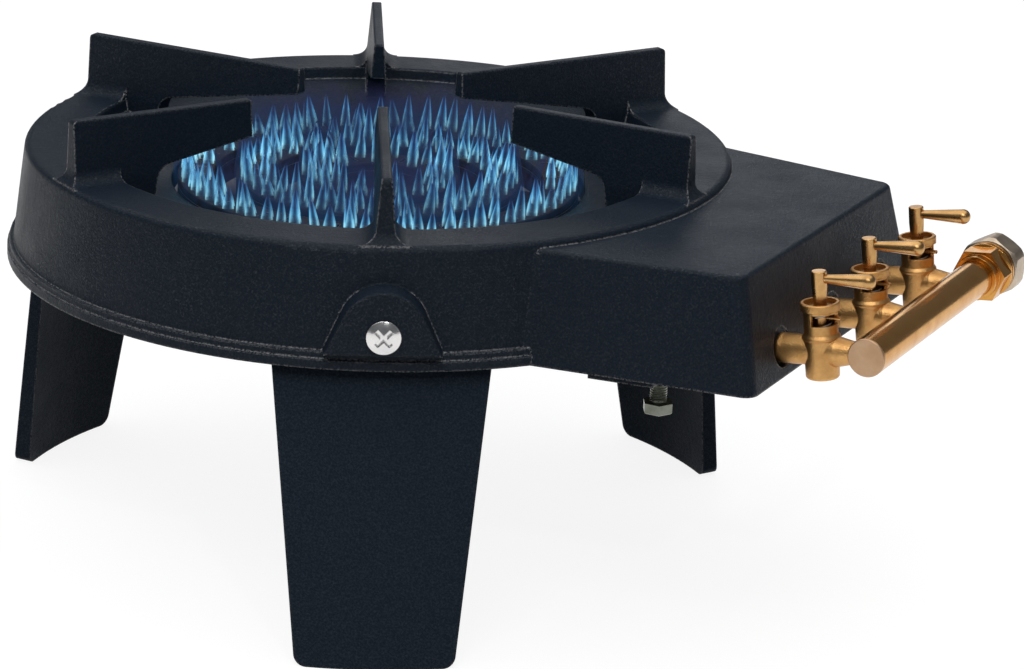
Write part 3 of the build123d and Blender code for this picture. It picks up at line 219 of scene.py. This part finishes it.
def node_color(add, join, position, stops):
    """A colour ramp over a 0 to 1 socket: stops are (place, colour)."""
    ramp = add("ShaderNodeValToRGB")
    join(position, ramp.inputs["Fac"])
    elements = ramp.color_ramp.elements
    while len(elements) < len(stops):
        elements.new(0.5)
    for element, (place, color) in zip(elements, stops):
        element.position = place
        element.color = (*color, 1)
    return ramp.outputs["Color"]


def turned_place(add, join, stretch=(1, 1, 1), turn=askew):
    """Object coordinates, turned so that a pattern's grid lies along no flat face, and stretched."""
    node = add("ShaderNodeMapping", vector_type="TEXTURE")
    join(add("ShaderNodeTexCoord").outputs["Object"], node.inputs["Vector"])
    node.inputs["Rotation"].default_value = turn
    node.inputs["Scale"].default_value = stretch
    return node.outputs["Vector"]


def noise(add, join, place, scale, detail=2, roughness=0.5):
    """Noise, its scale in waves per metre."""
    node = add("ShaderNodeTexNoise")
    join(place, node.inputs["Vector"])
    node.inputs["Scale"].default_value = scale
    node.inputs["Detail"].default_value = detail
    node.inputs["Roughness"].default_value = roughness
    return node.outputs["Fac"]


def soft_edges(add, radius):
    """The normal with every sharp edge rounded by a radius in metres."""
    node = add("ShaderNodeBevel", samples=edge_samples)
    node.inputs["Radius"].default_value = radius
    return node.outputs["Normal"]


def edge_share(add, join, rounded):
    """0 on plain surfaces, rising to 1 where the rounded normal leaves the surface's own.

    The cosine of the angle between both is read between the two values of edge_bend.
    """
    dot = add("ShaderNodeVectorMath", operation="DOT_PRODUCT")
    join(rounded, dot.inputs[0])
    join(add("ShaderNodeNewGeometry").outputs["Normal"], dot.inputs[1])
    return scaled(add, join, dot.outputs["Value"], 1, 0, *edge_bend)


def bumps(add, join, shader, layers, normal=None):
    """Stacks bump layers, each (height socket, depth in metres), into the shader's normal."""
    for height, depth in layers:
        node = add("ShaderNodeBump")
        join(height, node.inputs["Height"])
        node.inputs["Distance"].default_value = depth
        node.inputs["Strength"].default_value = 1
        if normal:
            join(normal, node.inputs["Normal"])
        normal = node.outputs["Normal"]
    join(normal, shader.inputs["Normal"])


cast_edge = 0.0016
grain_depth = 0.0003
lump_depth = 0.00025
rail_top = 0.183
rail_clear = (0.0045, 0.0055)


def enamel(name, deep, crest, wear_and_highlight, gloss, crest_gloss):
    """Enamel that is dull in the grain's hollows and glossy on its crests and along the edges.

    Along the edges the grain's crests take a pale colour: partly wear, and partly a painted highlight
    where rounded edges catch the light. At rail_top the corners of the rails inside the skirt come
    through its outer face by 0.9 mm, so near that height no edge is worn or painted pale: the share
    of both rises over the two distances of rail_clear.
    """
    material, shader, add, join = new_material(name)
    place = turned_place(add, join)
    grain = noise(add, join, place, scale=1050, detail=3, roughness=0.65)
    lumps = noise(add, join, place, scale=330)
    blotch = noise(add, join, place, scale=34, detail=3)
    rounded = soft_edges(add, cast_edge)
    edge = edge_share(add, join, rounded)
    split = add("ShaderNodeSeparateXYZ")
    join(add("ShaderNodeTexCoord").outputs["Object"], split.inputs[0])
    off_rail = combined(add, join, "SUBTRACT", split.outputs["Z"], rail_top)
    off_rail = combined(add, join, "ABSOLUTE", off_rail)
    off_rail = scaled(add, join, off_rail, 0, 1, *rail_clear)
    edge = combined(add, join, "MULTIPLY", edge, off_rail)
    # The pale edge colour on the grain's crests is partly wear and partly a painted highlight.
    wear_and_glint_grain = scaled(add, join, grain, 0, 1, start=0.42, end=0.56)
    wear_and_highlight_share = combined(add, join, "MULTIPLY", edge, wear_and_glint_grain)
    skin = add("ShaderNodeMix", data_type="RGBA")
    join(wear_and_highlight_share, skin.inputs["Factor"])
    join(node_color(add, join, grain, ((0.4, deep), (0.72, crest))), skin.inputs["A"])
    skin.inputs["B"].default_value = (*wear_and_highlight, 1)
    join(skin.outputs["Result"], shader.inputs["Base Color"])
    rough = scaled(add, join, blotch, low=0.42, high=0.52, start=0.35, end=0.65)
    join(rough, shader.inputs["Roughness"])
    shader.inputs["Specular IOR Level"].default_value = gloss
    crests = scaled(add, join, grain, low=0, high=crest_gloss, start=0.56, end=0.66)
    crests = combined(add, join, "MULTIPLY", crests, blotch)
    join(combined(add, join, "MAXIMUM", crests, wear_and_highlight_share), shader.inputs["Coat Weight"])
    shader.inputs["Coat Roughness"].default_value = 0.2
    bumps(add, join, shader, ((lumps, lump_depth), (grain, grain_depth)), rounded)
    join(shader.inputs["Normal"].links[0].from_socket, shader.inputs["Coat Normal"])
    return material


# The pale edge colour in each enamel is partly wear and partly a painted highlight.
hood_enamel = enamel(
    "hood_enamel", deep=(0.006, 0.012, 0.021), crest=(0.017, 0.024, 0.036),
    wear_and_highlight=(0.28, 0.28, 0.285), gloss=0.13, crest_gloss=0.8,
)
# The legs take a duller copy of the enamel, and its colour is paler than the hood's to make up for the
# light that the lower gloss no longer reflects: painted light.
leg_enamel = enamel(
    "leg_enamel", deep=(0.016, 0.025, 0.038), crest=(0.036, 0.048, 0.066),
    wear_and_highlight=(0.06, 0.065, 0.075), gloss=0.02, crest_gloss=0.15,
)


def dress(material, *names):
    """Puts a material on CAD nodes."""
    for name in names:
        for place in nodes[name].material_slots:
            place.link = "OBJECT"
            place.material = material


dress(hood_enamel, "hood_casting")
dress(leg_enamel, "leg_front", "leg_left", "leg_rear")


# Leg screws, washers and nuts
# Chromed pan heads with a cross recess outside, zinc plated washers and nuts inside the legs.
def steel(name, light, dark, rough, grain_depth, edge_radius, thread=None):
    """Plated steel with a fine grain and faint stains, its roughness a range over the stains.

    A thread is its pitch, its depth and the height above which it runs: a sine of the height.
    """
    material, shader, add, join = new_material(name)
    place = turned_place(add, join)
    grain = noise(add, join, place, scale=1100)
    stain = noise(add, join, place, scale=140, detail=3)
    join(node_color(add, join, stain, ((0.3, dark), (0.7, light))), shader.inputs["Base Color"])
    join(scaled(add, join, stain, *rough), shader.inputs["Roughness"])
    shader.inputs["Metallic"].default_value = 1
    layers = [(grain, grain_depth)]
    if thread:
        pitch, depth, foot = thread
        split = add("ShaderNodeSeparateXYZ")
        join(add("ShaderNodeTexCoord").outputs["Object"], split.inputs[0])
        height = split.outputs["Z"]
        turns = combined(add, join, "MULTIPLY", height, 2 * math.pi / pitch)
        turns = combined(add, join, "SINE", turns)
        above = combined(add, join, "GREATER_THAN", height, foot)
        layers.append((combined(add, join, "MULTIPLY", turns, above), depth))
    bumps(add, join, shader, layers, soft_edges(add, edge_radius))
    return material


zinc_look = {
    "light": (0.25, 0.26, 0.22), "dark": (0.14, 0.15, 0.12), "rough": (0.28, 0.42),
    "grain_depth": 0.00003, "edge_radius": 0.0003,
}
chrome = steel(
    "chrome", light=(0.78, 0.77, 0.76), dark=(0.66, 0.65, 0.65), rough=(0.12, 0.24),
    grain_depth=0.00002, edge_radius=0.0004,
)
zinc = steel("zinc_plate", **zinc_look)
dress(chrome, "leg_screws")
dress(zinc, "leg_washers", "leg_nuts")

# Ring burners and caps
# Plain grey iron castings, dull and dry, browned by heat and brighter along their edges.
burner_edge = 0.0006
burner_grain_depth = 0.0002
cold_iron = (0.014, 0.013, 0.014)
browned_iron = (0.038, 0.023, 0.018)
bare_iron = (0.5, 0.5, 0.55, 1)

material, shader, add, join = new_material("burner_iron")
place = turned_place(add, join)
grain = noise(add, join, place, scale=800, detail=3)
heat = noise(add, join, place, scale=45, detail=3)
rounded = soft_edges(add, burner_edge)
edge = edge_share(add, join, rounded)
iron = add("ShaderNodeMix", data_type="RGBA")
join(combined(add, join, "MULTIPLY", edge, grain), iron.inputs["Factor"])
join(node_color(add, join, heat, ((0.35, cold_iron), (0.68, browned_iron))), iron.inputs["A"])
iron.inputs["B"].default_value = bare_iron
join(iron.outputs["Result"], shader.inputs["Base Color"])
join(scaled(add, join, edge, low=0.75, high=0.35), shader.inputs["Roughness"])
shader.inputs["Metallic"].default_value = 0.4
bumps(add, join, shader, ((grain, burner_grain_depth),), rounded)
ring_names = ("outer", "middle", "inner")
dress(material, *[f"{ring}_{piece}" for ring in ring_names for piece in ("burner", "burner_cap")])

# Strap, clamp screws and locknuts under the tap box
# Zinc plated steel: a flat bar, and M8 screws with hexagon heads whose tips press on the tubes.
# Their thread runs above the heads.
head_height = 0.0065
thread_pitch = 0.00125
thread_depth = 0.0003
thread_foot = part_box("clamp_screws")[0].z + head_height

threaded_zinc = steel("zinc_thread", thread=(thread_pitch, thread_depth, thread_foot), **zinc_look)
dress(zinc, "burner_strap", "clamp_nuts")
dress(threaded_zinc, "clamp_screws")

# Taps
# Cast brass bodies, tumbled satin, with turned plugs, stems and levers that carry fine tool
# rings about the stem, and a steel spring in each cage. The gas rail leans back, and the stems
# with it.
brass_edge = 0.0004


def brass(name, light, dark, rough, grain_scale, grain_depth, stretch=(1, 1, 1), turn=askew):
    """Brass with darker, duller stains, and a grain that may be stretched along one line."""
    material, shader, add, join = new_material(name)
    grain = noise(add, join, turned_place(add, join, stretch, turn), grain_scale, detail=3)
    stain = noise(add, join, turned_place(add, join), scale=110, detail=4, roughness=0.6)
    join(node_color(add, join, stain, ((0.34, dark), (0.66, light))), shader.inputs["Base Color"])
    smooth, dull = rough
    join(scaled(add, join, stain, dull, smooth, start=0.3, end=0.7), shader.inputs["Roughness"])
    shader.inputs["Metallic"].default_value = 1
    bumps(add, join, shader, ((grain, grain_depth),), soft_edges(add, brass_edge))
    return material


tap_names = ("front", "middle", "rear")
stem_axis = Vector(frame["joints"][0]["axis"])
stem_lean = math.atan2(stem_axis.x, stem_axis.z)
tool_rings = (30, 30, 1)
tap_pieces = ("plug", "spindle", "lever", "keeper", "stop_pin")

cast_brass = brass(
    "cast_brass", light=(0.66, 0.375, 0.14), dark=(0.52, 0.275, 0.095), rough=(0.34, 0.44),
    grain_scale=1300, grain_depth=0.0002,
)
turned_brass = brass(
    "turned_brass", light=(0.66, 0.39, 0.16), dark=(0.48, 0.27, 0.1), rough=(0.24, 0.34),
    grain_scale=2500, grain_depth=0.00002, stretch=tool_rings, turn=(0, stem_lean, 0),
)
wire = steel(
    "spring_wire", light=(0.5, 0.5, 0.5), dark=(0.36, 0.36, 0.36), rough=(0.25, 0.35),
    grain_depth=0.00001, edge_radius=0.0001,
)
for name in tap_names:
    dress(cast_brass, f"{name}_tap_body")
    dress(turned_brass, *[f"{name}_tap_{piece}" for piece in tap_pieces])
    dress(wire, f"{name}_tap_spring")
dress(turned_brass, "tap_locknuts", *[f"{ring}_injector" for ring in ring_names])

# Manifold and gas inlet
# Drawn brass tube, lacquered and a little browned, with a faced end disc, a brass nipple, a
# fibre washer and a dull nickel plated coupling nut.
drawn_out = (1, 30, 1)
drawn_brass = brass(
    "drawn_brass", light=(0.68, 0.36, 0.1), dark=(0.6, 0.29, 0.07), rough=(0.17, 0.24),
    grain_scale=900, grain_depth=0.00003, stretch=drawn_out, turn=(0, 0, 0),
)
faced_brass = brass(
    "faced_brass", light=(0.56, 0.37, 0.23), dark=(0.5, 0.315, 0.18), rough=(0.42, 0.5),
    grain_scale=1300, grain_depth=0.00003,
)
nickel = steel(
    "nickel_plate", light=(0.6, 0.5, 0.39), dark=(0.42, 0.335, 0.25), rough=(0.3, 0.42),
    grain_depth=0.00003, edge_radius=0.0005,
)
dress(drawn_brass, "manifold_tube", "inlet_nipple")
dress(faced_brass, "manifold_end_cap")
dress(nickel, "coupling_nut")

fibre_light = (0.16, 0.09, 0.05)
fibre_dark = (0.05, 0.03, 0.02)
fibre_depth = 0.00005

material, shader, add, join = new_material("fibre")
strands = noise(add, join, turned_place(add, join), scale=1600, detail=3)
paint = node_color(add, join, strands, ((0.3, fibre_dark), (0.7, fibre_light)))
join(paint, shader.inputs["Base Color"])
shader.inputs["Roughness"].default_value = 0.8
bumps(add, join, shader, ((strands, fibre_depth),))
dress(material, "inlet_washer")

# Flames
# Burning gas over the burner caps: slender tongues that are pale low down and deep blue at their
# tips, and a thin veil over each ring.
flame_rings = (
    # ring, tap, its circles as (radius, tongues, outward lean), radius and half width of its veil
    ("outer", "front", ((0.0950, 72, 0.1), (0.0865, 20, 0.0)), 0.0915, 0.0112),
    ("middle", "rear", ((0.0658, 46, 0.1), (0.0572, 30, 0.0)), 0.0620, 0.0102),
    ("inner", "middle", ((0.0348, 24, 0.1), (0.0262, 9, 0.0)), 0.0310, 0.0098),
)
tongue_height = 0.0175
tongue_half = 0.0042
tongue_streaks = np.array([0, 1, 0.4, 1, 0, 1, 0.4, 1])
tongue_sides = len(tongue_streaks)
tongue_shares = np.array([0, 0.06, 0.3, 0.6, 0.85, 1])
tongue_glow = 1.6
stray_turn = 0.18
stray_radius = 0.0007
stray_lean = 0.08
stray_aside = 0.14
tall_range = (0.75, 1.25)
wide_range = (0.8, 1.15)
force_range = (0.6, 1.25)
foot_streak = 0.3
tip_streak = 0.6
veil_height = 0.029
veil_wave = 0.06
veil_wave_numbers = (7, 17, 31)
veil_glow = 1
flame_foot = ring_high.z - 0.0016
veil_foot = flame_foot - 0.003
flame_seed = 7


def tongues(circles, draw):
    """Slender closed tongues on circles round the burner axis.

    At the share s of its height a tongue's radius is its half width * min(1, 0.75 + 3 s) *
    (1 - s) ** 0.8. It ends in single points below and above, and its axis leans out and aside in
    proportion to s. Each tongue's place, height, width and lean stray a little, by seeded draws.
    """
    turn, radius, outward = (np.concatenate(parts) for parts in zip(*[(
        2 * np.pi * (np.arange(count) + draw.uniform(-stray_turn, stray_turn, count)) / count,
        circle + draw.uniform(-stray_radius, stray_radius, count),
        lean + draw.uniform(-stray_lean, stray_lean, count),
    ) for circle, count, lean in circles]))
    count = len(turn)
    tall = tongue_height * draw.uniform(*tall_range, count)[:, None]
    wide = tongue_half * draw.uniform(*wide_range, count)[:, None]
    aside = draw.uniform(-stray_aside, stray_aside, count)
    share = tongue_shares[None, :]
    out = np.stack([np.cos(turn), np.sin(turn)], -1)
    along = np.stack([-out[:, 1], out[:, 0]], -1)
    drift = outward[:, None] * out + aside[:, None] * along
    plan = radius[:, None, None] * out[:, None] + drift[:, None] * (tall * share)[..., None]
    axis = np.concatenate([plan, (flame_foot + tall * share)[..., None]], -1)
    axis[..., 0] += burner_x
    swell = wide * np.minimum(1, 0.75 + 3 * share) * (1 - share) ** 0.8
    levels = len(tongue_shares) - 2
    around = 2 * np.pi * np.arange(tongue_sides) / tongue_sides + camera_azimuth
    section = np.stack([np.cos(around), np.sin(around), 0 * around], -1)
    rings = axis[:, 1:-1, None] + swell[:, 1:-1, None, None] * section
    points = np.concatenate([rings.reshape(count, -1, 3), axis[:, [0, -1]]], 1)
    each = points.shape[1]
    side = np.arange(tongue_sides)
    beside = (side + 1) % tongue_sides
    level = np.arange(levels - 1)[:, None] * tongue_sides
    walls = np.stack([
        level + side, level + beside, level + beside + tongue_sides, level + side + tongue_sides
    ], -1)
    foot = levels * tongue_sides
    top = (levels - 1) * tongue_sides
    ends = np.concatenate([
        np.column_stack([beside, side, side * 0 + foot]),
        np.column_stack([top + side, top + beside, side * 0 + foot + 1]),
    ])
    step = np.arange(count)[:, None, None] * each
    faces = (walls.reshape(1, -1, 4) + step).reshape(-1, 4).tolist()
    faces += (ends[None] + step).reshape(-1, 3).tolist()
    rise = np.tile(np.append(np.repeat(tongue_shares[1:-1], tongue_sides), [0, 1]), count)
    streak = np.append(np.tile(tongue_streaks, levels), [foot_streak, tip_streak])
    streak = np.tile(streak, count)
    force = np.repeat(draw.uniform(*force_range, count), each)
    return points.reshape(-1, 3), faces, {"rise": rise, "streak": streak, "force": force}


def veil(radius, half_width, draw, across=12, around=120):
    """A closed ring of thin flame over a burner cap.

    Its section is an arch: at the angle a it stands half_width * cos a beside the ring's circle and
    veil_height * h * sin a above veil_foot, where h is 1 plus three sine waves round the ring.
    """
    turn = 2 * np.pi * np.arange(around) / around
    waves = veil_wave * sum(
        np.sin(number * turn + draw.uniform(0, 6)) for number in veil_wave_numbers
    )
    arch = np.pi * np.arange(across + 1) / across
    sides = radius + half_width * np.cos(arch)[None]
    height = veil_height * (1 + waves)[:, None] * np.sin(arch)[None]
    points = np.stack([
        burner_x + sides * np.cos(turn)[:, None], sides * np.sin(turn)[:, None], veil_foot + height,
    ], -1)
    row = np.arange(around)[:, None] * (across + 1)
    next_row = np.roll(row, -1, 0)
    step = np.arange(across + 1)
    over = np.roll(step, -1)
    faces = np.stack([row + step, next_row + step, next_row + over, row + over], -1)
    rise = np.tile(np.sin(arch), around)
    return points.reshape(-1, 3), faces.reshape(-1, 4).tolist(), {"rise": rise}


def attribute(add, name):
    """One of the shares that a flame's mesh carries."""
    return add("ShaderNodeAttribute", attribute_name=name).outputs["Fac"]


def burning(name, colors, along, cover, glow):
    """A flame: it only glows, in colours along one socket, and covers by another."""
    material, shader, add, join = new_material(name)
    shader.inputs["Base Color"].default_value = black
    shader.inputs["Specular IOR Level"].default_value = 0
    shader.inputs["Emission Strength"].default_value = glow
    join(node_color(add, join, along(add, join), colors), shader.inputs["Emission Color"])
    join(cover(add, join), shader.inputs["Alpha"])
    return material


def tongue_heat(add, join):
    """The rise up the tongue, and half more between its streaks."""
    between = scaled(add, join, attribute(add, "streak"), low=0.5, high=0, start=0.5)
    return combined(add, join, "ADD", attribute(add, "rise"), between)


def tongue_cover(add, join):
    """Dense along the streaks, faint between them, and gone at the foot and the tip."""
    streak = attribute(add, "streak")
    film = scaled(add, join, streak, low=0, high=0.1)
    ridge = scaled(add, join, combined(add, join, "POWER", streak, 5), low=0, high=0.9)
    rise = attribute(add, "rise")
    cover = combined(add, join, "ADD", film, ridge)
    for part in (
        scaled(add, join, rise, 0, 1, start=0.03, end=0.2),
        scaled(add, join, rise, 1, 0, start=0.4, end=1),
        attribute(add, "force"),
    ):
        cover = combined(add, join, "MULTIPLY", cover, part)
    return cover


def veil_heat(add, join):
    """The rise up the veil."""
    return attribute(add, "rise")


def veil_cover(add, join):
    """Wisps that thin out at the foot and towards the top."""
    rise = attribute(add, "rise")
    wisps = noise(add, join, turned_place(add, join), scale=130)
    cover = scaled(add, join, wisps, low=0.25, high=0.6, start=0.35, end=0.65)
    for part in (
        scaled(add, join, rise, low=0.2, high=1, end=0.35),
        scaled(add, join, rise, 1, 0, start=0.5, end=1),
    ):
        cover = combined(add, join, "MULTIPLY", cover, part)
    return cover


tongue_colors = (
    (0, (0.62, 0.95, 1)), (0.3, (0.26, 0.68, 0.88)), (0.6, (0.07, 0.3, 0.56)), (1, (0.03, 0.07, 0.24)),
)
veil_colors = ((0, (0.012, 0.045, 0.1)), (0.5, (0.015, 0.03, 0.08)), (1, (0.03, 0.025, 0.07)))
tongue_flame = burning("flame_tongues", tongue_colors, tongue_heat, tongue_cover, tongue_glow)
veil_flame = burning("flame_veil", veil_colors, veil_heat, veil_cover, veil_glow)

draw = np.random.default_rng(flame_seed)
for ring, tap, circles, radius, half_width in flame_rings:
    for name, material, (points, faces, shares) in (
        (f"flames_{ring}", tongue_flame, tongues(circles, draw)),
        (f"flame_veil_{ring}", veil_flame, veil(radius, half_width, draw)),
    ):
        flames = mesh_object(name, points, faces, material)
        for key, values in shares.items():
            layer = flames.data.attributes.new(key, "FLOAT", "POINT")
            layer.data.foreach_set("value", values.astype(np.float32))
        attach(flames, "stove")
        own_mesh(flames)
